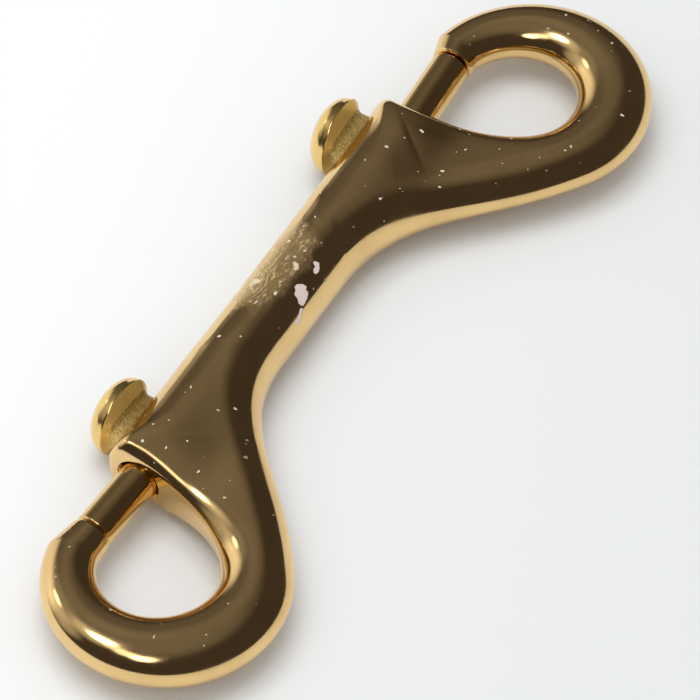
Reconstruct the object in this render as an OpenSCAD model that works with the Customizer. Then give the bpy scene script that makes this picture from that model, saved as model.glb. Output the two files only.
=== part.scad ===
// Double-ended chain snap: one cast body with a hook and an eye at each end.
// A sprung bolt closes each eye and is drawn back by its thumb piece.
// X runs along the stem, the hooks hang towards -Y and Z is the thickness.

/* [Hooks] */
// Length over both hooks
snap_l = 114; // [104:1:126]
// Outer radius of the hook
hook_or = 14.6; // [13.5:0.1:16]
// Width of the eye between the bolt and the bottom of the hook
eye_d = 13.8; // [12.6:0.2:15]
// Clear length of the eye from the barrel mouth to the end of the hook
eye_l = 17.3; // [16:0.1:19]
// Width of the hook at its outer end
hook_end = 8.3; // [7:0.1:9.5]
// Width of the hook at its lowest point
hook_low = 9.4; // [8:0.1:10.5]
// Thickness of the hook
hook_t = 6.8; // [5.8:0.2:8]
// Diameter of the hook's tip
tip_d = 5.2; // [4.6:0.1:5.8]
// Length from the outer end of the hook back to its tip
hook_reach = 15.7; // [14.8:0.1:16.6]
// How much further out the tip, bolt and thumb piece of end a stand
tip_lead = 1.2; // [0:0.1:1.6]
// Rounding of the hook's outer edge
hook_round = 4.4; // [3.8:0.1:4.8]
// Rounding of the eye's edge
eye_round = 4.2; // [3.6:0.1:4.6]
// How far the web runs down from the mouth before it curves into the eye
web_drop = 6.5; // [5:0.5:8]
// Reach of the curve from the web into the eye
web_run = 3; // [2:0.5:4]

/* [Stem and barrels] */
// Width of the stem
stem_w = 9.6; // [9.2:0.1:11]
// Thickness of the stem and of both barrels
stem_h = 9.8; // [9.4:0.1:11.4]
// Height of the stem's thumb side above the bolt line at mid-length
thumb_side = 3.7; // [3.4:0.1:4.2]
// How much further out the thumb side lies at the barrel mouth
mouth_flare = 0.5; // [0.2:0.1:1]
// Half length of the straight part of the stem's hook side
shoulder_x = 7; // [5:0.5:9]
// Reach of the curve that leaves the stem
shoulder_run = 13; // [10:0.5:15]
// Reach of the curve that runs into the hook
flare_run = 14.6; // [12:0.2:16]
// Width of the slope from the barrel down to the flat of the web
barrel_fall = 5; // [3.5:0.5:7]
// Radius of the rounded rim at the barrel mouth
lip_r = 1.5; // [1.1:0.1:1.8]

/* [Bolts] */
// Diameter of the bolt
bolt_d = 4.8; // [4.2:0.1:5.2]
// Diameter of the bore in the barrel
bore_d = 6.2; // [5.9:0.1:6.5]
// Angle by which each bolt leans out towards the thumb side
bolt_lean = 3; // [2:0.5:3.5]
// How far each bolt draws back
travel = 10; // [8:0.5:11]
// Gap between the bolt's nose and the hook's tip
gate_gap = 0.4; // [0.2:0.1:0.8]
// Rounding of the bolt's nose
nose_r = 0.5; // [0.2:0.1:0.8]
// Length of the collar that runs in the bore
collar_l = 9.6; // [8.8:0.2:10.4]
// Depth of the collar's front face inside the mouth
collar_inset = 2; // [1.6:0.2:2.4]
// Radial running clearance of the collar in the bore
run_clear = 0.05; // [0.02:0.01:0.09]

/* [Thumb pieces] */
// Distance from the bolt's nose back to the thumb piece
knob_back = 16.2; // [15.6:0.2:17]
// Diameter of the thumb piece's head
knob_d = 9.6; // [8.5:0.1:10.5]
// Height of the head's dome above its rim
knob_dome = 2.5; // [1.8:0.1:3.2]
// Thickness of the head's rim
knob_rim = 0.6; // [0.4:0.1:1]
// Depth of the hollow under the head
knob_cup = 0.7; // [0.2:0.1:1]
// Height of the head's rim above the barrel
rim_gap = 1.8; // [1.4:0.1:2.6]
// Length of the neck along the bolt
neck_l = 7.2; // [6:0.2:8]
// Thickness of the neck
neck_w = 3.6; // [3:0.1:4]
// Length of the curved foot in front of the neck
foot_l = 1.4; // [1:0.1:1.8]
// Diameter of the shank riveted into the bolt
shank_d = 3; // [2.4:0.1:3.2]
// Clearance on each side of the neck in its slot
slot_clear = 0.2; // [0.1:0.05:0.3]

/* [Springs] */
// Wire diameter of the spring
wire_d = 0.6; // [0.5:0.05:0.7]
// Outside diameter of the spring
coil_d = 5.2; // [4.6:0.1:5.6]
// Turns of the spring
turns = 6; // [5:0.5:6.5]

/* [Hidden] */
brass = [0.72, 0.55, 0.24];
brass_bolt = [0.66, 0.50, 0.22];
brass_thumb = [0.78, 0.59, 0.25];
spring_steel = [0.62, 0.63, 0.65];

$fn = 64;

// Places along X, from the bolt line where bolt and hook meet, for end b
gate_x = snap_l / 2 - hook_reach;
mouth_x = snap_l / 2 - hook_end - eye_l;
eye_c = [snap_l / 2 - hook_end - eye_d / 2, -(bolt_d + eye_d) / 2];
hook_c = [snap_l / 2 - hook_or, eye_c[1] - eye_d / 2 - hook_low + hook_or];
hub = (eye_c + hook_c) / 2;
hook_side = thumb_side - stem_w;

// Places along the bolt, measured back from the hook's tip
lean_x = (gate_x - mouth_x) / cos(bolt_lean);
collar_front = lean_x + collar_inset;
collar_rear = collar_front + collar_l;
coil_solid = (turns + 1) * wire_d;
bore_end = collar_rear + travel + coil_solid + 0.1;
knob_s = gate_gap + knob_back;
collar_r = bore_d / 2 - run_clear;
seat_y = sqrt(collar_r * collar_r - neck_w * neck_w / 4);

// The barrel's thumb side, as seen from the stem and from the leaning bolt
function thumb_y(x) = thumb_side + mouth_flare * pow(x / mouth_x, 2);
function over_bolt(s) = thumb_y(gate_x - s) + s * tan(bolt_lean);
rim_y = over_bolt(knob_s) + rim_gap;
foot_y = over_bolt(knob_s - neck_l / 2 + travel) + 0.2;

// The origin is at the middle of the whole snap
head_top = rim_y + knob_rim + knob_dome;
top_y = head_top * cos(bolt_lean) - knob_s * sin(bolt_lean);
mid_y = (hook_c[1] - hook_or + top_y) / 2;

function lerp(a, b, t) = a + (b - a) * t;
function ease(t) = let (c = min(1, max(0, t))) c * c * (3 - 2 * c);
function unit(v) = v / norm(v);
function bez(p, t) = p[0] * pow(1 - t, 3) + p[1] * 3 * t * pow(1 - t, 2)
    + p[2] * 3 * t * t * (1 - t) + p[3] * pow(t, 3);

// Point of a circle on the ray that leaves the hub at angle a
function on_ray(c, r, a) =
    let (u = [cos(a), sin(a)], d = hub - c, k = d * u)
    hub + u * (sqrt(k * k - d * d + r * r) - k);

// Outline of one half: the outer edge and the inner edge, station by station
join_a = 240;
tip_a = 438;
n_stem = 3;
n_flare = 26;
n_hook = 26;
n_tip = 3;

hook_start = on_ray(hook_c, hook_or, join_a);
hook_run = let (u = unit(hook_start - hook_c)) [-u[1], u[0]];
outer_curve = [
    [shoulder_x, hook_side],
    [shoulder_x + shoulder_run, hook_side],
    hook_start - hook_run * flare_run,
    hook_start
];
eye_start = on_ray(eye_c, eye_d / 2, join_a);
eye_run = let (u = unit(eye_start - eye_c)) [-u[1], u[0]];
rim_c = [mouth_x - lip_r, thumb_y(mouth_x - lip_r) - lip_r];
web_curve = [
    [mouth_x, rim_c[1]],
    [mouth_x, rim_c[1] - web_drop],
    eye_start - eye_run * web_run,
    eye_start
];
stem_end = lerp(shoulder_x, mouth_x, 0.33);
rim_on = 0.3;
rim_off = 0.46;

function inner_flare(u) =
    u < rim_on ? let (x = lerp(stem_end, rim_c[0], u / rim_on)) [x, thumb_y(x)]
    : u < rim_off ? let (a = 90 * (rim_off - u) / (rim_off - rim_on)) rim_c + lip_r * [cos(a), sin(a)]
    : bez(web_curve, (u - rim_off) / (1 - rim_off));

tip_up = [-sin(bolt_lean), cos(bolt_lean)];
last_o = on_ray(hook_c, hook_or, tip_a);
last_i = on_ray(eye_c, eye_d / 2, tip_a);

// Each station: outer point, inner point and its place along the half
function stations_to(gate) = concat(
    [for (i = [0:n_stem - 1]) let (f = i / n_stem)
        [[shoulder_x * f, hook_side], [stem_end * f, thumb_y(stem_end * f)], 0, 0]],
    [for (i = [0:n_flare - 1]) let (u = i / n_flare)
        [bez(outer_curve, u), inner_flare(u), u, 0]],
    [for (i = [0:n_hook - 1]) let (f = i / n_hook, a = lerp(join_a, tip_a, f))
        [on_ray(hook_c, hook_or, a), on_ray(eye_c, eye_d / 2, a), 1, f]],
    [for (i = [0:n_tip]) let (f = i / n_tip)
        [lerp(last_o, gate + tip_up * tip_d / 2, f), lerp(last_i, gate - tip_up * tip_d / 2, f), 1, 1]]
);
n_half = n_stem + n_flare + n_hook + n_tip + 1;

// Thickness of the web and of the barrel's ridge, and the rounding of the inner edge
ridge_y = thumb_side - stem_w / 2;
barrel_z = stem_h / 2;
hook_z = hook_t / 2;
function outer_z(u, f) = lerp(lerp(barrel_z, hook_z, ease(u)), tip_d / 2, ease(f * 1.6 - 0.6));
function inner_z(u, f) = lerp(lerp(barrel_z, hook_z, ease((u - 0.4) / 0.6)), tip_d / 2, ease(f * 1.6 - 0.6));
function edge_r(u) = u < rim_off ? lerp(stem_w / 2, lip_r, ease((u - rim_on) / (rim_off - rim_on)))
    : lerp(lip_r, eye_round, ease((u - rim_off) / (1 - rim_off)));
function edge_v(u) = u < 0.6 ? lerp(1, lip_r / barrel_z, ease((u - rim_on) / 0.25))
    : lerp(lip_r / barrel_z, 1, ease((u - 0.6) / 0.4));

function arc(x) = let (c = 1 - min(1, max(0, x))) sqrt(max(0, 1 - c * c));
arc_steps = [for (k = [0:6]) 1 - cos(14 * k)];

// One cross-section: across the top from the outer to the inner edge, back below
function section(stations, i) =
    let (
        s = stations[i],
        o = s[0],
        n = s[1],
        before = stations[max(0, i - 1)],
        after = stations[min(n_half - 1, i + 1)],
        run_o = unit(after[0] - before[0]),
        run_i = unit(after[1] - before[1]),
        span = norm(n - o),
        across = (n - o) / span,
        cos_o = abs(across[0] * run_o[1] - across[1] * run_o[0]),
        cos_i = abs(across[0] * run_i[1] - across[1] * run_i[0]),
        round_o = min(lerp(stem_w / 2, hook_round, s[2]) / cos_o, span / 2),
        round_i = min(edge_r(s[2]) / cos_i, span - round_o),
        v = edge_v(s[2]),
        from_o = [for (k = [0:6]) round_o * arc_steps[k]],
        from_i = [for (k = [6:-1:0]) span - round_i * arc_steps[k]],
        middle = [for (k = [1:5]) lerp(from_o[6], from_i[0], k / 6)],
        steps = concat(from_o, middle, from_i),
        top = [for (d = steps)
            let (
                p = o + across * d,
                z = lerp(outer_z(s[2], s[3]), inner_z(s[2], s[3]), ease(1 - (ridge_y - p[1]) / barrel_fall)),
                inner_cut = v * (1 - arc((span - d) / round_i)),
                h = z * max(0, arc(d / round_o) - inner_cut)
            )
            [p[0], p[1], (d <= 0 || d >= span) ? 0 : h]]
    )
    concat(top, [for (k = [len(top) - 2:-1:1]) [top[k][0], top[k][1], -top[k][2]]]);

function half_to(gate) = let (stations = stations_to(gate)) [for (i = [0:n_half - 1]) section(stations, i)];
half_a = half_to([gate_x + tip_lead, 0]);
half_b = half_to([gate_x, 0]);
rings = concat(
    [for (i = [n_half - 1:-1:1]) [for (p = half_b[i]) [-p[0], p[1], p[2]]]],
    half_a
);

// Skin over a list of rings that all have the same number of points
module loft(rings) {
    n = len(rings);
    m = len(rings[0]);
    polyhedron(
        points = [for (r = rings) for (p = r) p],
        faces = concat(
            [for (i = [0:n - 2]) for (j = [0:m - 1]) let (k = (j + 1) % m)
                [i * m + j, i * m + k, (i + 1) * m + k]],
            [for (i = [0:n - 2]) for (j = [0:m - 1]) let (k = (j + 1) % m)
                [i * m + j, (i + 1) * m + k, (i + 1) * m + j]],
            [[for (j = [m - 1:-1:0]) j]],
            [[for (j = [0:m - 1]) (n - 1) * m + j]]
        )
    );
}

// Frame of one bolt: origin at the hook's tip, X out along the bolt, Y towards the thumb
module on_bolt(end) {
    mirror([end, 0, 0])
        translate([gate_x + (1 - end) * tip_lead, 0, 0])
            rotate([0, 0, bolt_lean])
                children();
}

// A cylinder along the bolt, from a to b behind the hook's tip
module along(d, a, b) {
    translate([-b, 0, 0])
        rotate([0, 90, 0])
            cylinder(d = d, h = b - a);
}

module body() {
    color(brass)
    translate([0, -mid_y, 0])
    difference() {
        loft(rings);
        for (end = [0, 1])
            on_bolt(end) {
                along(bore_d, lean_x - bore_d / 2, bore_end);
                slot();
            }
    }
}

// Slot through the barrel's thumb side, as long as the neck and its travel
module slot() {
    long = neck_l + travel + 2 * slot_clear;
    wide = neck_w + 2 * slot_clear;
    translate([-knob_s - travel - neck_l / 2 - slot_clear, 0, -wide / 2])
        cube([long, 2 * thumb_side + stem_w, wide]);
}

module bolt(end) {
    color(brass_bolt)
    translate([0, -mid_y, 0])
    on_bolt(end)
    difference() {
        union() {
            rotate([0, -90, 0])
                rotate_extrude()
                    bolt_profile();
        }
        translate([-knob_s - neck_l / 2 - slot_clear, seat_y, -neck_w])
            cube([neck_l + 2 * slot_clear, collar_r, 2 * neck_w]);
        translate([-knob_s, -bore_d, 0])
            rotate([-90, 0, 0])
                cylinder(d = shank_d + 0.04, h = 2 * bore_d);
    }
}

// Half section of the bolt: rounded nose, rod and guiding collar
module bolt_profile() {
    r = bolt_d / 2;
    difference() {
        union() {
            translate([0, gate_gap])
                square([r, collar_front - gate_gap + 1]);
            translate([0, collar_front])
                square([collar_r, collar_l]);
        }
        translate([r - nose_r, gate_gap - 1])
            difference() {
                square([nose_r + 1, nose_r + 1]);
                translate([0, nose_r + 1])
                    circle(r = nose_r);
            }
    }
}

// Thumb piece: domed, hollow-backed head on a neck that runs in the slot
module thumb(end) {
    color(brass_thumb)
    translate([0, -mid_y, 0])
    on_bolt(end)
    translate([-knob_s, 0, 0]) {
        translate([0, rim_y, 0])
            rotate([-90, 0, 0])
                rotate_extrude()
                    polygon(head_profile());
        translate([0, 0, -neck_w / 2])
            linear_extrude(neck_w)
                neck_side();
        rotate([-90, 0, 0])
            translate([0, 0, -shank_below])
                cylinder(d = shank_d, h = shank_below + seat_y + 1);
    }
}

shank_below = collar_r - 0.6;

// Side view of the neck with its curved foot on the mouth side
module neck_side() {
    top = rim_y + knob_cup + 0.3;
    translate([-neck_l / 2, seat_y])
        square([neck_l, top - seat_y]);
    translate([neck_l / 2 - 0.1, foot_y])
        difference() {
            square([foot_l + 0.1, foot_l + 0.3]);
            translate([foot_l + 0.1, foot_l + 0.3])
                circle(r = foot_l);
        }
}

// Half section of the head, from the hollow's centre over the rim to the dome's top
function head_profile() =
    let (r = knob_d / 2, inner = r - knob_rim)
    concat(
        [for (k = [0:6]) let (x = inner * k / 6) [x, knob_cup * (1 - pow(x / inner, 2))]],
        [[r - knob_rim / 3, knob_rim / 3]],
        [for (a = [0:7.5:82.5]) [r * cos(a), knob_rim + knob_dome * sin(a)]],
        [[0, knob_rim + knob_dome]]
    );

// Compression spring between the blind end of the bore and the collar
module spring(end) {
    color(spring_steel)
    translate([0, -mid_y, 0])
    on_bolt(end)
        translate([-bore_end, 0, 0])
            loft(coil_rings(end == 0 ? 1 : -1));
}

coil_rest = bore_end - collar_rear;
coil_n = 84;
function coil_at(t) =
    let (rise = coil_rest - wire_d - 0.1)
    wire_d / 2 + 0.05 + rise * lerp(t, ease(t), 0.35);
function coil_rings(hand) =
    [for (i = [0:coil_n])
        let (
            t = i / coil_n,
            a = hand * 360 * turns * t,
            r = (coil_d - wire_d) / 2,
            slope = atan((coil_rest - wire_d) / turns / (2 * PI * r)),
            along = [sin(slope), -hand * sin(a) * cos(slope), hand * cos(a) * cos(slope)],
            out = [0, cos(a), sin(a)],
            side = cross(along, out)
        )
        [for (k = [0:7])
            [coil_at(t), r * cos(a), r * sin(a)]
            + wire_d / 2 * (cos(45 * k) * out + sin(45 * k) * side)]];

body();
bolt(0);  // bolt_a
bolt(1);  // bolt_b
thumb(0);  // thumb_a
thumb(1);  // thumb_b
spring(0);  // spring_a
spring(1);  // spring_b
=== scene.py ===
import math
import bpy
import bmesh
import numpy as np
from mathutils import Matrix, Vector


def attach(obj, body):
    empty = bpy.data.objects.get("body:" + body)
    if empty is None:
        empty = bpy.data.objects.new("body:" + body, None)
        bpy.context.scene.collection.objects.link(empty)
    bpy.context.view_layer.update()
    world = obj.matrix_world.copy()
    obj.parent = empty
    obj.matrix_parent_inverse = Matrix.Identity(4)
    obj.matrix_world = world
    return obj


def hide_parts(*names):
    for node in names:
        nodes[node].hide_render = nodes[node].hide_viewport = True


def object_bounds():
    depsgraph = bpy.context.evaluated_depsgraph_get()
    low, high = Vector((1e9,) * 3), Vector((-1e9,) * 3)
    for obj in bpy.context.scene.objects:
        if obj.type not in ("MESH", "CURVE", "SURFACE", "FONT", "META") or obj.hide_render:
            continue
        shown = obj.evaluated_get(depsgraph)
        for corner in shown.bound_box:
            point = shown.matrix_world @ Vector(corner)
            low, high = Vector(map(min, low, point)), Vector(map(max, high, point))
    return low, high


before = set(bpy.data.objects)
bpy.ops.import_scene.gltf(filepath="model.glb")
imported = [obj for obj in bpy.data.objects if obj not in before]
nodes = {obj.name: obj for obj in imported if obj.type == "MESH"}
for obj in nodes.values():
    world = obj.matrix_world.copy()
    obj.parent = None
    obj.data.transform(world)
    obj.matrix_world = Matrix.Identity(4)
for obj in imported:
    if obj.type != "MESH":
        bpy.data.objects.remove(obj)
cad_box = [list(v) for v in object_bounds()]
MM = 0.001

# ---------- sizes of the source, in millimetres
snap_l = 114            # length over both hooks
hook_or = 14.6          # outer radius of the hook
eye_d = 13.8            # width of the eye between the bolt and the bottom of the hook
eye_l = 17.3            # clear length of the eye
hook_end = 8.3          # width of the hook at its outer end
hook_low = 9.4          # width of the hook at its lowest point
hook_t = 6.8            # thickness of the hook
hook_reach = 15.7       # length from the outer end of the hook back to its tip
hook_round = 4.4        # rounding of the hook's outer edge
eye_round = 4.2         # rounding of the eye's edge
tip_d = 5.2             # diameter of the hook's tip
tip_lead = 1.2          # how much further out the tip, bolt and thumb piece of end a stand
stem_w = 9.6            # width of the stem
stem_h = 9.8            # thickness of the stem and of both barrels
thumb_side = 3.7        # height of the stem's thumb side above the bolt line
mouth_flare = 0.5       # how much further out the thumb side lies at the barrel mouth
shoulder_x = 7          # half length of the straight part of the stem's hook side
shoulder_run = 13       # reach of the curve that leaves the stem
flare_run = 14.6        # reach of the curve that runs into the hook
lip_r = 1.5             # radius of the rounded rim at the barrel mouth
bolt_d = 4.8            # diameter of the bolt
bore_d = 6.2            # diameter of the bore in the barrel
bolt_lean = math.radians(3)     # angle by which each bolt leans out towards the thumb side
travel = 10             # how far each bolt draws back
gate_gap = 0.4          # gap between the bolt's nose and the hook's tip
collar_inset = 2        # depth of the collar's front face inside the mouth
collar_l = 9.6          # length of the collar that runs in the bore
knob_back = 16.2        # distance from the bolt's nose back to the thumb piece
knob_rim = 0.6          # thickness of the head's rim
knob_dome = 2.5         # height of the head's dome above its rim
rim_gap = 1.8           # height of the head's rim above the barrel
neck_l = 7.2            # length of the neck along the bolt
neck_w = 3.6            # thickness of the neck
slot_clear = 0.2        # clearance on each side of the neck in its slot
wire_d = 0.6            # wire diameter of the spring
turns = 6               # turns of the spring
spring_rest = 0.1       # room left behind the shut spring

# ---------- sizes of the forms that are softer or fuller here than in the source
eye_r = 7.1             # radius of the eye
web_drop = 10.5         # how far the web runs down from the mouth before it curves into the eye
web_back = 0.4          # how far that curve is drawn back behind the mouth
web_run = 4.5           # reach of the curve from the web into the eye
web_from = 8            # where the web starts to get thinner than the stem
web_fall = 24           # length over which it does
barrel_fall = 8         # width of the slope from the barrel down to the flat of the web
ridge_back = 4          # how far before the mouth the barrel's ridge starts to fall
ridge_fall = 12.5       # length over which it does
crown = 0.35            # how far the flat of the web falls away to its edges
crown_from = 12         # where that starts
crown_full = 14         # length over which it comes in
crown_hook = 3          # it fades out over the first 1 / crown_hook of the way round the hook
thin_from = 0.375       # part of the way round the hook where it starts to thin towards the tip
tip_out = 0.22          # how far the hook's bevelled tip reaches into the gap before the bolt
tip_bevel = 0.2         # share of the tip's radius that the bevel takes off
tip_steps = (22, 45, 68, 90)    # angles of the steps in which that bevel is rounded, in degrees
throat_r = 2.62         # radius of the bore's narrowed mouth
throat_rim_r = 2.85     # radius of the mouth at its rim
throat_rim = 0.3        # depth of that rim
throat_l = 1.75         # length of the narrowed mouth
head_r = 4.8            # radius of the thumb piece's dome where it leaves the rim
head_from = 0.4         # height of that place above the rim
head_dome = 2.7         # height of the dome above it

# ---------- fineness of the nets
n_stem, n_flare, n_hook, n_tip = 12, 150, 130, 14   # stations along one half of the casting
n_edge, n_flat = 17, 12                             # points over each rounded edge and between them
soften, soften_more = 4, 12                         # stations over which a size is smoothed
n_round = 96                                        # points round a bore or a thumb piece
casting_sharp, thumb_sharp = 32, 38                 # angle from which an edge is drawn sharp

# ---------- places, from the bolt line at mid-length, for end b
gate_x = snap_l / 2 - hook_reach
mouth_x = snap_l / 2 - hook_end - eye_l
eye_c = np.array([snap_l / 2 - hook_end - eye_d / 2, -bolt_d / 2 - eye_r])
hook_c = np.array([snap_l / 2 - hook_or, -bolt_d / 2 - eye_d - hook_low + hook_or])
hub = (eye_c + hook_c) / 2
hook_side = thumb_side - stem_w
ridge_y = thumb_side - stem_w / 2
barrel_z = stem_h / 2
hook_z = hook_t / 2
tip_up = np.array([-math.sin(bolt_lean), math.cos(bolt_lean)])

# places along the bolt, measured back from the hook's tip
lean_x = (gate_x - mouth_x) / math.cos(bolt_lean)
knob_s = gate_gap + knob_back
bore_end = lean_x + collar_inset + collar_l + travel + (turns + 1) * wire_d + spring_rest


def lerp(a, b, t):
    return a + (b - a) * t


def ease(t):
    c = np.clip(t, 0, 1)
    return c * c * (3 - 2 * c)


def unit(v):
    return v / np.linalg.norm(v, axis=-1, keepdims=True)


def bez(p, t):
    t = np.asarray(t)[..., None]
    return p[0] * (1 - t) ** 3 + p[1] * 3 * t * (1 - t) ** 2 + p[2] * 3 * t * t * (1 - t) + p[3] * t ** 3


# height of the barrel's thumb side above the bolt line
def thumb_y(x):
    return thumb_side + mouth_flare * (x / mouth_x) ** 2


# the origin is at the middle of the whole snap, between the hooks' bottom and the heads' top
rim_y = thumb_y(gate_x - knob_s) + knob_s * math.tan(bolt_lean) + rim_gap
head_top = (rim_y + knob_rim + knob_dome) * math.cos(bolt_lean) - knob_s * math.sin(bolt_lean)
up_y = (bolt_d / 2 + eye_d + hook_low - head_top) / 2

# ---------- camera, fitted to the photo
cam_azimuth = 59.5445
cam_tilt = 39.3753                  # away from straight down
cam_roll = 0.2346
cam_distance = 853.925              # millimetres
cam_focal_px = 7288.832
cam_target = (-2.3892, -11.8415)    # millimetres from the bolt line at mid-length
photo_px = 700
sensor_mm = 36


def make_camera():
    view = (Matrix.Rotation(math.radians(cam_roll), 3, "Z")
            @ Matrix.Rotation(math.radians(-cam_tilt), 3, "X")
            @ Matrix.Rotation(math.radians(cam_azimuth), 3, "Z"))
    turn = view.transposed()
    place = Vector((cam_target[0], cam_target[1] + up_y, 0)) + turn @ Vector((0, 0, cam_distance))
    data = bpy.data.cameras.new("camera")
    data.sensor_width = sensor_mm
    data.lens = sensor_mm * cam_focal_px / photo_px
    data.clip_start = 0.01
    data.clip_end = 20
    cam = bpy.data.objects.new("camera", data)
    cam.matrix_world = Matrix.Translation(place * MM) @ turn.to_4x4()
    bpy.context.scene.collection.objects.link(cam)
    bpy.context.scene.camera = cam


make_camera()


# ---------- the casting's outline: the source's curves with the fuller eye, in far finer steps
# points of a circle on the rays that leave the hub at the given angles
def on_ray(c, r, deg):
    a = np.radians(deg)
    u = np.stack([np.cos(a), np.sin(a)], -1)
    d = hub - c
    k = (d * u).sum(-1, keepdims=True)
    return hub + u * (np.sqrt(k * k - d @ d + r * r) - k)


# direction in which a circle leaves one of its points, anticlockwise
def along_circle(point, c):
    u = unit(point - c)
    return np.array([-u[1], u[0]])


join_a, tip_a = 240.0, 438.0        # angles round the hub where the hook starts and ends
rim_on, rim_off = 0.3, 0.46         # share of the flare where the mouth's rim starts and ends
low_at, low_over = 0.6, 0.25        # where the inner edge is rounded least, and how soon it gets there
stem_share = 0.33                   # how far from the shoulder to the mouth the straight sections end
stem_end = lerp(shoulder_x, mouth_x, stem_share)
hook_start = on_ray(hook_c, hook_or, join_a)
eye_start = on_ray(eye_c, eye_r, join_a)
rim_c = np.array([mouth_x - lip_r, thumb_y(mouth_x - lip_r) - lip_r])
outer_curve = [
    np.array([shoulder_x, hook_side]),
    np.array([shoulder_x + shoulder_run, hook_side]),
    hook_start - along_circle(hook_start, hook_c) * flare_run,
    hook_start]
web_curve = [
    np.array([mouth_x, rim_c[1]]),
    np.array([mouth_x - web_back, rim_c[1] - web_drop]),
    eye_start - along_circle(eye_start, eye_c) * web_run,
    eye_start]


# inner edge of the flare: along the thumb side, round the rim and down the web
def inner_flare(u):
    x = lerp(stem_end, rim_c[0], u / rim_on)
    on_top = np.stack([x, thumb_y(x)], -1)
    a = np.radians(90 * (rim_off - u) / (rim_off - rim_on))
    on_rim = rim_c + lip_r * np.stack([np.cos(a), np.sin(a)], -1)
    on_web = bez(web_curve, np.clip((u - rim_off) / (1 - rim_off), 0, 1))
    u = u[:, None]
    return np.where(u < rim_on, on_top, np.where(u < rim_off, on_rim, on_web))


# both edges of one half, with the place u along the flare and f round the hook
def edges(gate):
    stem = np.arange(n_stem) / n_stem
    flare = np.arange(n_flare) / n_flare
    hook = np.arange(n_hook) / n_hook
    tip = np.linspace(0, 1, n_tip)[:, None]
    deg = lerp(join_a, tip_a, hook)
    last_o = on_ray(hook_c, hook_or, np.array(tip_a))
    last_i = on_ray(eye_c, eye_r, np.array(tip_a))
    outer = np.concatenate([
        np.stack([shoulder_x * stem, np.full(n_stem, hook_side)], -1),
        bez(outer_curve, flare),
        on_ray(hook_c, hook_or, deg),
        lerp(last_o, gate + tip_up * tip_d / 2, tip)])
    inner = np.concatenate([
        np.stack([stem_end * stem, thumb_y(stem_end * stem)], -1),
        inner_flare(flare),
        on_ray(eye_c, eye_r, deg),
        lerp(last_i, gate - tip_up * tip_d / 2, tip)])
    u = np.concatenate([np.zeros(n_stem), flare, np.ones(n_hook + n_tip)])
    f = np.concatenate([np.zeros(n_stem + n_flare), hook, np.ones(n_tip)])
    return outer, inner, u, f


# ---------- the casting's cross-sections
def smooth(v, w):
    k = np.hanning(2 * w + 3)[1:-1]
    k /= k.sum()
    e = np.concatenate([np.full(w, v[0]), v, np.full(w, v[-1])])
    return np.convolve(e, k, "valid")


def arc(x):
    return np.sqrt(np.clip(1 - (1 - np.clip(x, 0, 1)) ** 2, 0, 1))


# sine of the angle at which the sections meet an edge
def slant(across, edge):
    at = np.arange(len(edge))
    run = unit(edge[np.minimum(at + 1, len(edge) - 1)] - edge[np.maximum(at - 1, 0)])
    return np.abs(across[:, 0] * run[:, 1] - across[:, 1] * run[:, 0])


# width of the inner edge's rounding, and the share of the height that it takes off
def inner_rounding(u):
    low = lip_r / barrel_z
    wide = np.where(u < rim_off,
                    lerp(stem_w / 2, lip_r, ease((u - rim_on) / (rim_off - rim_on))),
                    lerp(lip_r, eye_round, ease((u - rim_off) / (1 - rim_off))))
    share = np.where(u < low_at,
                     lerp(1, low, ease((u - rim_on) / low_over)),
                     lerp(low, 1, ease((u - low_at) / (1 - low_at))))
    return wide, share


# half thickness before the edges are rounded, on the barrel and web or round the hook
def flat_height(p, u, f):
    x, y = p[..., 0], p[..., 1]
    web = lerp(barrel_z, hook_z, ease((x - web_from) / web_fall))
    ridge = lerp(barrel_z, hook_z, ease((x - mouth_x + ridge_back) / ridge_fall))
    on_ridge = ease(1 - (ridge_y - y) / barrel_fall)
    thinner = ease((f - thin_from) / (1 - thin_from))
    round_hook = smooth(lerp(lerp(barrel_z, hook_z, ease(u)), tip_d / 2, thinner), soften)
    return np.where(u[:, None] < 1, lerp(web, ridge, on_ridge), round_hook[:, None])


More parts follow.
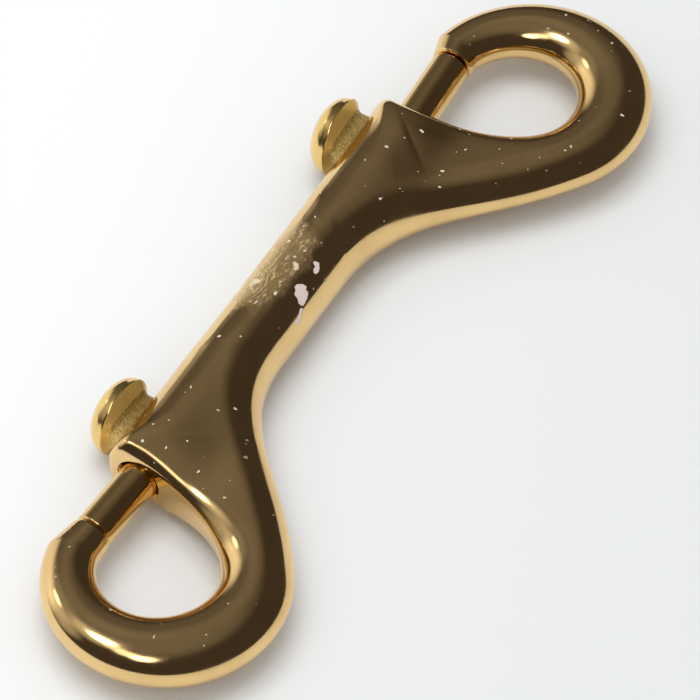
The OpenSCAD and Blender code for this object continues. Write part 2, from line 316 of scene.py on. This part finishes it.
# rings of one half, from mid-length to the bevelled tip
def half(lead):
    gate = np.array([gate_x + lead, 0])
    outer, inner, u, f = edges(gate)
    span = np.linalg.norm(inner - outer, axis=1)
    across = (inner - outer) / span[:, None]
    wide, share = inner_rounding(u)
    round_o = np.minimum(lerp(stem_w / 2, hook_round, u) / slant(across, outer), span / 2)
    round_i = np.minimum(wide / slant(across, inner), span - round_o)
    span = span[:, None]
    round_o = smooth(round_o, soften)[:, None]
    round_i = smooth(round_i, soften_more)[:, None]
    share = smooth(share, soften_more)[:, None]

    steps = 1 - np.cos(np.radians(np.linspace(0, 90, n_edge)))
    from_o = round_o * steps
    from_i = span - round_i * steps[::-1]
    middle = lerp(from_o[:, -1:], from_i[:, :1], np.arange(1, n_flat + 1) / (n_flat + 1))
    d = np.concatenate([from_o, middle, from_i], 1)
    p = outer[:, None] + across[:, None] * d[..., None]

    h = flat_height(p, u, f) * np.maximum(0, arc(d / round_o) - share * (1 - arc((span - d) / round_i)))
    bow = crown * ease((p[..., 0] - crown_from) / crown_full) * (1 - ease(f * crown_hook))[:, None]
    h = h - bow * (2 * d / span - 1) ** 2 * np.minimum(1, h / 2)
    h = np.stack([smooth(c, soften_more) for c in h.T], 1)
    h[:, 0] = 0
    h[:, -1] = 0
    top = np.concatenate([p, h[..., None]], -1)
    below = np.concatenate([p, -h[..., None]], -1)[:, -2:0:-1]
    shape = np.concatenate([top, below], 1)

    # the tip's rim, drawn in step by step towards the bolt
    end = np.array([*gate, 0])
    back = np.array([-math.cos(bolt_lean), -math.sin(bolt_lean), 0])
    bevel = [end + (shape[-1] - end) * (1 - tip_bevel * (1 - math.cos(t))) + back * tip_out * math.sin(t)
             for t in np.radians(tip_steps)]
    return np.concatenate([shape, np.array(bevel)])


# ---------- meshes
def add_object(name, bm):
    mesh = bpy.data.meshes.new(name)
    bm.to_mesh(mesh)
    bm.free()
    o = bpy.data.objects.new(name, mesh)
    bpy.context.scene.collection.objects.link(o)
    return o


def shade(mesh, sharp_from):
    mesh.shade_smooth()
    mesh.set_sharp_from_angle(angle=math.radians(sharp_from))


# closed skin over rings of as many points each; band_slot gives the material slot of each band
def skin(rings, place, band_slot=None):
    bm = bmesh.new()
    rows = [[bm.verts.new(p) for p in ring] for ring in rings]
    n = len(rings[0])
    for i, (a, b) in enumerate(zip(rows, rows[1:])):
        for k in range(n):
            face = bm.faces.new((a[k], a[(k + 1) % n], b[(k + 1) % n], b[k]))
            face.material_index = band_slot(i) if band_slot else 0
    bm.faces.new(rows[0][::-1])
    bm.faces.new(rows[-1])
    bmesh.ops.transform(bm, matrix=place, verts=bm.verts)
    bmesh.ops.recalc_face_normals(bm, faces=bm.faces)
    return bm


# frame of one bolt: origin at the hook's tip, X out along the bolt, Y towards the thumb
def bolt_frame(end):
    x = gate_x + (tip_lead if end == "a" else 0)
    m = Matrix.Translation((x, 0, 0)) @ Matrix.Rotation(bolt_lean, 4, "Z")
    if end == "b":
        m = Matrix.Scale(-1, 4, (1, 0, 0)) @ m
    return Matrix.Scale(MM, 4) @ Matrix.Translation((0, up_y, 0)) @ m


# ---------- bores and slots, cut as in the source, with a narrowed mouth to each bore
mouth_out = 3           # how far the bore's cutter stands out of the mouth
slot_top = 17           # how far the slot's cutter reaches, past the top of the barrel


def bore_cutter(end):
    profile = [(-mouth_out, throat_rim_r), (0, throat_rim_r), (throat_rim, throat_r), (throat_l, throat_r),
               (throat_l, bore_d / 2), (bore_end - lean_x, bore_d / 2)]
    turn = [2 * math.pi * k / n_round for k in range(n_round)]
    rings = [[(-lean_x - s, r * math.cos(t), r * math.sin(t)) for t in turn] for s, r in profile]
    return add_object("cut_bore_" + end, skin(rings, bolt_frame(end)))


def slot_cutter(end):
    low = (-knob_s - travel - neck_l / 2 - slot_clear, 0, -neck_w / 2 - slot_clear)
    size = (neck_l + travel + 2 * slot_clear, slot_top, neck_w + 2 * slot_clear)
    bm = bmesh.new()
    bmesh.ops.create_cube(bm, size=1)
    for v in bm.verts:
        v.co = Vector([a + b * (c + 0.5) for a, b, c in zip(low, size, v.co)])
    bmesh.ops.transform(bm, matrix=bolt_frame(end), verts=bm.verts)
    bmesh.ops.recalc_face_normals(bm, faces=bm.faces)
    return add_object("cut_slot_" + end, bm)


def cut_away(o, cutters):
    for c in cutters:
        md = o.modifiers.new(c.name, "BOOLEAN")
        md.operation = "DIFFERENCE"
        md.solver = "EXACT"
        md.object = c
    done = o.evaluated_get(bpy.context.evaluated_depsgraph_get())
    mesh = bpy.data.meshes.new_from_object(done)
    o.modifiers.clear()
    o.data = mesh
    for c in cutters:
        bpy.data.objects.remove(c)


def casting_skin():
    end_b = half(0)[::-1] * np.array([-1, 1, 1])
    rings = np.concatenate([end_b[:-1], half(tip_lead)])
    rings[..., 1] += up_y
    o = add_object("casting_skin", skin(rings, Matrix.Scale(MM, 4)))
    cut_away(o, [f(end) for end in "ab" for f in (bore_cutter, slot_cutter)])
    shade(o.data, casting_sharp)
    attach(o, "casting")
    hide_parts("body")
    return o


casting = casting_skin()


# ---------- thumb pieces: a neck that flares into a thin-rimmed domed head
NECK = [  # height above the rim, half length, half width, squareness
    (-3.6, 3.6, 1.8, 6), (-1.42, 3.6, 1.8, 6), (-1.3, 3.6, 1.8, 6), (-1.15, 3.61, 1.81, 6),
    (-1.0, 3.64, 1.84, 6), (-0.82, 3.7, 1.98, 5.5), (-0.62, 3.84, 2.35, 4.4),
    (-0.44, 4.04, 2.85, 3.4), (-0.28, 4.3, 3.4, 2.7), (-0.14, 4.56, 4.0, 2.25),
    (-0.05, 4.76, 4.6, 2.05), (0.02, 4.84, 4.82, 2), (0.12, 4.86, 4.86, 2),
    (0.26, 4.84, 4.84, 2), (head_from, 4.78, 4.78, 2)]
DOME = [(head_from + head_dome * math.sin(t), head_r * math.cos(t), head_r * math.cos(t), 2)
        for t in np.radians(range(8, 90, 6))]
grain_to, trough_to = 6, 11         # where the neck's cast grain ends, and the trough under the head


def thumb_ring(y, long, wide, square):
    ring = []
    for k in range(n_round):
        t = 2 * math.pi * k / n_round
        c, s = math.cos(t), math.sin(t)
        r = (abs(c) ** square + abs(s) ** square) ** (-1 / square)
        ring.append((long * c * r - knob_s, rim_y + y, wide * s * r))
    return ring


# band 0 is the head, band 1 the neck's cast grain, band 2 the trough under the head, whose brass carries
# painted light
def thumb_band(i):
    return 1 if i < grain_to else 2 if i < trough_to else 0


def thumb_piece(end):
    rings = [thumb_ring(*row) for row in NECK + DOME]
    o = add_object("thumb_piece_" + end, skin(rings, bolt_frame(end), thumb_band))
    shade(o.data, thumb_sharp)
    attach(o, "plunger_" + end)
    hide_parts("thumb_" + end)
    return o


thumbs = [thumb_piece(end) for end in "ab"]


# ---------- short ways to write shader nodes
class Nodes:
    def __init__(self, tree):
        self.tree = tree
        tree.nodes.clear()

    def add(self, kind, **settings):
        node = self.tree.nodes.new(kind)
        for k, v in settings.items():
            setattr(node, k, v)
        return node

    # a socket is linked, and a number or colour is set
    def feed(self, value, socket):
        if isinstance(value, bpy.types.NodeSocket):
            self.tree.links.new(value, socket)
        else:
            socket.default_value = value

    def math(self, op, a, b):
        node = self.add("ShaderNodeMath", operation=op)
        self.feed(a, node.inputs[0])
        self.feed(b, node.inputs[1])
        return node.outputs[0]

    def most(self, first, *others):
        for v in others:
            first = self.math("MAXIMUM", first, v)
        return first

    def vector(self, op, a, b=None, out="Vector"):
        node = self.add("ShaderNodeVectorMath", operation=op)
        self.feed(a, node.inputs[0])
        if b is not None:
            self.feed(b, node.inputs[1])
        return node.outputs[out]

    def noise(self, place, scale, detail=4, rough=0.5, out="Fac"):
        node = self.add("ShaderNodeTexNoise")
        for k, v in (("Vector", place), ("Scale", scale), ("Detail", detail), ("Roughness", rough)):
            self.feed(v, node.inputs[k])
        return node.outputs[out]

    def ramp(self, value, a, b, lo=0.0, hi=1.0, kind="LINEAR"):
        node = self.add("ShaderNodeMapRange", interpolation_type=kind)
        for k, v in (("Value", value), ("From Min", a), ("From Max", b), ("To Min", lo), ("To Max", hi)):
            self.feed(v, node.inputs[k])
        return node.outputs[0]

    def blend(self, share, a, b):
        node = self.add("ShaderNodeMix", data_type="RGBA")
        self.feed(share, node.inputs[0])
        for socket, v in ((node.inputs[6], a), (node.inputs[7], b)):
            self.feed((*v, 1) if isinstance(v, tuple) else v, socket)
        return node.outputs[2]

    def bump(self, height, strength, distance, below=None):
        node = self.add("ShaderNodeBump")
        node.inputs["Strength"].default_value = strength
        node.inputs["Distance"].default_value = distance
        self.feed(height, node.inputs["Height"])
        if below is not None:
            self.feed(below, node.inputs["Normal"])
        return node.outputs[0]

    def place(self):
        return self.add("ShaderNodeTexCoord").outputs["Object"]

    # a surface shader's sockets, filled by name
    def surface(self, **sockets):
        shader = self.add("ShaderNodeBsdfPrincipled")
        for k, v in sockets.items():
            self.feed(v, shader.inputs[k.replace("_", " ")])
        self.feed(shader.outputs[0], self.add("ShaderNodeOutputMaterial").inputs[0])


def material(name):
    m = bpy.data.materials.new(name)
    m.use_nodes = True
    return m, Nodes(m.node_tree)


# ---------- polished brass, and brass with cast grain
def brass(name, base, deep, rough, grain=0.0, metal=1.0):
    m, n = material(name)
    place = n.place()
    normal = n.bump(n.noise(place, 320, 3), 0.25, 0.00005)
    if grain:
        normal = n.bump(n.noise(place, 1900, 4, 0.7), 1.0, grain, normal)
    n.surface(
        Metallic=metal,
        Base_Color=n.blend(n.ramp(n.noise(place, 180, 5), 0.35, 0.65), base, deep),
        Roughness=n.ramp(n.noise(place, 900, 6, 0.6), 0.3, 0.75, rough, rough + 0.08),
        Normal=normal)
    return m


# ---------- the casting's worn brass
# spots on the stem where the plating has lifted, and small bare spots: place and radius in millimetres
LIFTED = [
    (-0.75, 4.05, 3.65, 0.85), (-0.1, 4.55, 3.95, 0.62), (-1.3, 3.7, 3.35, 0.55), (-0.2, 3.7, 3.4, 0.5),
    (4.05, 4.75, 4.2, 0.33), (3.75, 4.6, 4.1, 0.34), (3.35, 4.35, 3.95, 0.42), (3.1, 4.5, 4.05, 0.3),
    (-2.2, 3.25, 2.75, 0.36), (-2.75, 3.1, 2.5, 0.34), (-3.3, 3.0, 2.25, 0.42)]
BARE = [
    (2.3, 6.5, 4.85, 0.45), (1.95, 6.2, 4.8, 0.4), (1.6, 6.25, 4.8, 0.3), (4.6, 6.6, 4.85, 0.2),
    (3.2, 7.3, 4.9, 0.2), (-2.6, 6.3, 4.8, 0.22), (-0.9, 6.6, 4.85, 0.16), (-5.1, 7.5, 4.85, 0.16),
    (6.8, 5.8, 4.7, 0.16), (-1.9, 9.6, 4.3, 0.5), (-2.5, 10.0, 4.1, 0.4), (5.2, 9.3, 4.5, 0.3)]
patch_c = (0.0010, 0.0088, 0.0044)      # middle and half sizes of the rubbed patch, in metres
patch_half = (0.0085, 0.0036, 0.0040)
rubbed_gold = (0.80, 0.56, 0.26)
stroke_gold = (0.96, 0.74, 0.36)
pit_gold = (0.90, 0.80, 0.62)
bare_gold = (0.93, 0.80, 0.60)
lifted_grey = (0.66, 0.55, 0.51)
soft_edge = 0.08                        # share of a spot's radius over which it fades, each way


# the place, shaken so that spots get ragged edges
def ragged_place(n, place, scale=900, amount=0.0012):
    shake = n.vector("SUBTRACT", n.noise(place, scale, 3, out="Color"), (0.5, 0.5, 0.5))
    return n.vector("ADD", place, n.vector("MULTIPLY", shake, (amount, amount, amount)))


def spots(n, place, rows):
    discs = []
    for x, y, z, r in rows:
        away = n.vector("DISTANCE", place, (x * MM, y * MM, z * MM), "Value")
        discs.append(n.ramp(away, r * MM * (1 + soft_edge), r * MM * (1 - soft_edge), kind="SMOOTHSTEP"))
    return n.most(*discs)


# small specks: cells of a net, of which a share holds a speck of its own size
def specks(n, place, scale, radius, share):
    cell = n.add("ShaderNodeTexVoronoi")
    cell.inputs["Scale"].default_value = scale
    n.feed(place, cell.inputs["Vector"])
    chance = n.add("ShaderNodeSeparateColor")
    n.feed(cell.outputs["Color"], chance.inputs[0])
    size = n.ramp(chance.outputs[1], 0, 1, radius * 0.4, radius)
    near = n.math("LESS_THAN", cell.outputs["Distance"], size)
    return n.math("MULTIPLY", near, n.math("LESS_THAN", chance.outputs[0], share))


# rubbed patch in the middle of the stem, and the scratches across it
def rubbed_patch(n, place, ragged):
    off = n.vector("MULTIPLY", n.vector("SUBTRACT", place, patch_c), tuple(1 / v for v in patch_half))
    uneven = n.math("MULTIPLY", n.noise(place, 420, 4, 0.6), 0.9)
    away = n.math("ADD", n.vector("LENGTH", off, out="Value"), uneven)
    patch = n.ramp(away, 1.6, 1.05, kind="SMOOTHSTEP")
    turn = n.add("ShaderNodeMapping")
    n.feed(ragged, turn.inputs["Vector"])
    turn.inputs["Rotation"].default_value = (0, 0, math.radians(58))
    turn.inputs["Scale"].default_value = (650, 3600, 1200)
    return patch, n.math("MULTIPLY", n.ramp(n.noise(turn.outputs[0], 1), 0.53, 0.62), patch)


def worn_brass(name, base, deep, rough):
    m, n = material(name)
    place = n.place()
    xyz = n.add("ShaderNodeSeparateXYZ")
    n.feed(place, xyz.inputs[0])
    ragged = ragged_place(n, place)
    lifted = spots(n, ragged, LIFTED)
    bare = spots(n, ragged, BARE)
    patch, strokes = rubbed_patch(n, place, ragged)

    # pits are thick in some places and thin in others, and only on the flat side
    patchy = n.ramp(n.noise(place, 70, 2), 0.36, 0.52)
    flat_side = n.ramp(xyz.outputs["Z"], 0.0020, 0.0030)
    all_pits = n.most(specks(n, ragged, 430, 0.12, 0.6), specks(n, ragged, 900, 0.14, 0.35))
    pits = n.math("MULTIPLY", all_pits, n.math("MULTIPLY", patchy, flat_side))

    # cast grain left on the thumb side, where the polish didn't reach
    thumb_edge = n.ramp(xyz.outputs["Y"], 0.0104, 0.0118, kind="SMOOTHSTEP")
    grainy = n.most(n.math("MULTIPLY", thumb_edge, n.ramp(n.noise(place, 160, 3), 0.38, 0.6)), patch)

    colour = n.blend(n.ramp(n.noise(place, 150, 5), 0.35, 0.65), base, deep)
    colour = n.blend(n.math("MULTIPLY", patch, 0.6), colour, rubbed_gold)
    for where, tint in ((strokes, stroke_gold), (pits, pit_gold), (bare, bare_gold), (lifted, lifted_grey)):
        colour = n.blend(where, colour, tint)

    matt = n.most(n.math("MULTIPLY", pits, 0.675), n.math("MULTIPLY", bare, 0.6))
    rubbed = n.most(n.math("MULTIPLY", strokes, 0.32), n.math("MULTIPLY", patch, 0.12))
    polish = n.ramp(n.noise(place, 900, 6, 0.6), 0.3, 0.75, rough, rough + 0.07)
    dull = n.ramp(n.noise(place, 95, 4), 0.5, 0.72, 0, 0.07)
    worn = n.most(n.math("MULTIPLY", patch, 0.16), n.math("MULTIPLY", strokes, 0.24),
                  n.math("MULTIPLY", n.most(pits, bare, lifted), 0.45))

    normal = n.bump(n.noise(place, 260, 3), 0.25, 0.00005)
    normal = n.bump(n.math("MULTIPLY", n.noise(place, 2300, 4, 0.65), grainy), 0.8, 0.00007, normal)
    sunk = n.most(pits, n.math("MULTIPLY", lifted, 0.6))
    normal = n.bump(n.math("SUBTRACT", strokes, sunk), 0.7, 0.00004, normal)
    n.surface(
        Base_Color=colour,
        Metallic=n.math("SUBTRACT", 1.0, n.most(lifted, rubbed, matt)),
        Roughness=n.math("ADD", n.math("ADD", polish, dull), worn),
        Normal=normal)
    return m


def drawn_steel():
    m, n = material("spring_steel")
    n.surface(
        Metallic=1,
        Base_Color=(0.6, 0.61, 0.63, 1),
        Roughness=n.ramp(n.noise(n.place(), 1500), 0.3, 0.7, 0.22, 0.42))
    return m


# ---------- a material on every piece
# a thumb piece comes with no material, and clearing it would lose its bands' slots
def dress(o, *mats):
    if o.data.materials:
        o.data.materials.clear()
    for mat in mats:
        o.data.materials.append(mat)


body_mat = worn_brass("body_brass", (0.88, 0.62, 0.28), (0.80, 0.55, 0.24), 0.08)
bolt_mat = brass("bolt_brass", (0.84, 0.58, 0.24), (0.76, 0.52, 0.20), 0.12)
# the neck's cast grain is real, and its brass is also painted lighter than the head's as painted light, to
# lift the shade the head casts on the neck
grain_and_painted_light_mat = brass("thumb_grain_and_painted_light_brass", (0.95, 0.70, 0.26), (0.72, 0.48, 0.15), 0.24, 0.0003, 0.85)
# painted light: the trough under the head is brass painted brighter and less metallic than the head, to
# lift the shade the head casts on it
trough_painted_light_mat = brass("thumb_trough_painted_light_brass", (0.95, 0.68, 0.22), (0.88, 0.60, 0.18), 0.30, metal=0.6)
thumb_mat = brass("thumb_brass", (0.90, 0.64, 0.24), (0.84, 0.58, 0.20), 0.14)
steel_mat = drawn_steel()

dress(casting, body_mat)
for thumb in thumbs:
    dress(thumb, thumb_mat, grain_and_painted_light_mat, trough_painted_light_mat)
for end in "ab":
    dress(nodes["bolt_" + end], bolt_mat)
    dress(nodes["thumb_" + end], thumb_mat)
    dress(nodes["spring_" + end], steel_mat)

# ---------- pale floor just under the snap, with painted shade that makes it a little darker on the hooks' side
floor_half = 2.5
floor_drop = 0.00002
floor_light = (0.90, 0.915, 0.92)
floor_painted_shade = (0.76, 0.775, 0.78)
painted_shade_way = (0.30, -0.95, 0)
painted_shade_over = 0.05


def make_floor():
    bm = bmesh.new()
    bmesh.ops.create_grid(bm, x_segments=1, y_segments=1, size=floor_half)
    o = add_object("floor", bm)
    o.location = (0, 0, cad_box[0][2] - floor_drop)
    m, n = material("floor")
    # painted shade: the floor's colour blends from the pale tone to a darker one towards the hooks' side
    side = n.vector("DOT_PRODUCT", n.place(), painted_shade_way, "Value")
    share = n.ramp(side, -painted_shade_over, painted_shade_over, kind="SMOOTHSTEP")
    n.surface(Base_Color=n.blend(share, floor_light, floor_painted_shade), Roughness=0.55)
    dress(o, m)
    return o


floor = make_floor()

# ---------- light: a dim room with a bright window side, seen as reflections in the brass
LOBES = [  # azimuth, elevation, inner and outer half angle in degrees, colour
    (118, 55, 3, 20, (0.45, 0.44, 0.42)),
    (82, 7, 5, 30, (0.95, 0.93, 0.90)),
    (112, 22, 4, 24, (0.40, 0.39, 0.37)),
    (92, 34, 0, 26, (0.20, 0.195, 0.19)),
    (75, 78, 0, 44, (0.13, 0.127, 0.122)),
    (45, 38, 0, 34, (0.07, 0.068, 0.065)),
    (120, 60, 5, 9, (4.2, 4.15, 4.1)),
    (142, 60, 2, 9, (0.9, 0.88, 0.84)),
    (163, 58, 3, 10, (1.5, 1.47, 1.40)),
    (184, 55, 5, 10, (3.4, 3.35, 3.3)),
    (92, 33, 3, 6, (2.2, 2.15, 2.05)),
]
room_colour = (0.052, 0.044, 0.042)
fill_colour = (0.70, 0.70, 0.70)        # what lights a matt surface, in place of the room
lamp_place = (0.04, 0.12, 0.99)         # metres
lamp_size = 0.7
lamp_power = 4.6


def lobe(n, look, az, el, inner, outer, colour):
    a, e = math.radians(az), math.radians(el)
    way = (math.cos(a) * math.cos(e), math.sin(a) * math.cos(e), math.sin(e))
    near = n.vector("DOT_PRODUCT", look, way, "Value")
    share = n.ramp(near, math.cos(math.radians(outer)), math.cos(math.radians(inner)), kind="SMOOTHSTEP")
    return n.vector("MULTIPLY", share, colour)


def make_room():
    world = bpy.data.worlds.new("world")
    bpy.context.scene.world = world
    world.use_nodes = True
    n = Nodes(world.node_tree)
    look = n.add("ShaderNodeTexCoord").outputs["Generated"]
    seen = room_colour
    for row in LOBES:
        seen = n.vector("ADD", lobe(n, look, *row), seen)
    on_matt = n.add("ShaderNodeLightPath").outputs["Is Diffuse Ray"]
    sky = n.add("ShaderNodeBackground")
    sky.inputs["Strength"].default_value = 1
    n.feed(n.blend(on_matt, seen, fill_colour), sky.inputs["Color"])
    n.feed(sky.outputs[0], n.add("ShaderNodeOutputWorld").inputs[0])


# a soft lamp overhead, left out of the reflections
def make_lamp():
    data = bpy.data.lights.new("soft_overhead", "AREA")
    data.size = lamp_size
    data.energy = lamp_power
    lamp = bpy.data.objects.new("soft_overhead", data)
    lamp.location = lamp_place
    lamp.rotation_euler = (-lamp.location).to_track_quat("-Z", "Y").to_euler()
    lamp.visible_glossy = False
    bpy.context.scene.collection.objects.link(lamp)


make_room()
make_lamp()

bpy.context.scene.view_settings.view_transform = "Standard"
